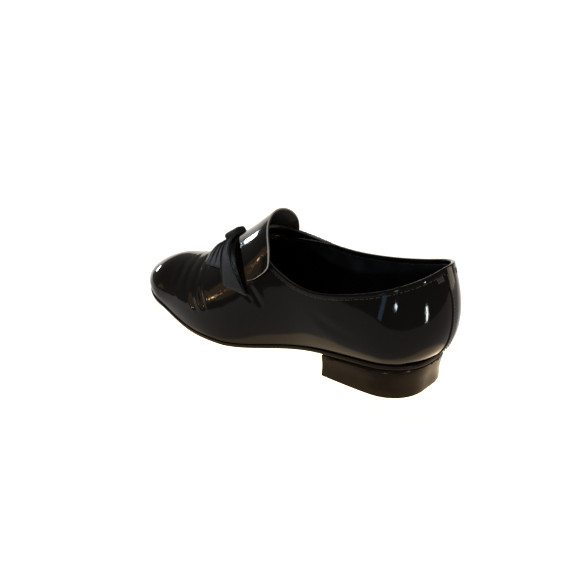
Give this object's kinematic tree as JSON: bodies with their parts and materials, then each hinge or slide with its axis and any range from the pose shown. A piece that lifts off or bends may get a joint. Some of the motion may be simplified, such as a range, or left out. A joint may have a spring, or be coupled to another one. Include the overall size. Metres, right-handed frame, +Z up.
{
  "type": "opera pump",
  "caption": "Left low-cut dress slip-on of patent leather with a saddle tab and a pinched ribbon bow, on a thin sole with a low stacked heel.",
  "frame": {"origin": "on the floor, below the middle of the shoe's box", "axes": "+Z up from the floor, -Y from heel to toe along the foot, +X to the lateral side, where the little toe is"},
  "size_m": [0.0926, 0.2966, 0.1008],
  "materials": {
    "upper": "black patent, mirror gloss",
    "back_strip": "black patent, mirror gloss",
    "tongue_tab": "black patent, mirror gloss",
    "bow_front_lateral": "matt ribbed ribbon",
    "bow_rear_lateral": "matt ribbed ribbon",
    "bow_front_medial": "matt ribbed ribbon",
    "bow_rear_medial": "matt ribbed ribbon",
    "bow_knot": "matt ribbed ribbon",
    "outsole": "black, waxed edge",
    "heel": "dark, polished",
    "insole": "matt black"
  },
  "bodies": {
    "root": {"upper": "upper", "back_strip": "back_strip", "tongue_tab": "tongue_tab", "bow_front_lateral": "bow_front_lateral", "bow_rear_lateral": "bow_rear_lateral", "bow_front_medial": "bow_front_medial", "bow_rear_medial": "bow_rear_medial", "bow_knot": "bow_knot", "outsole": "outsole", "heel": "heel", "insole": "insole"}
  },
  "joints": []
}
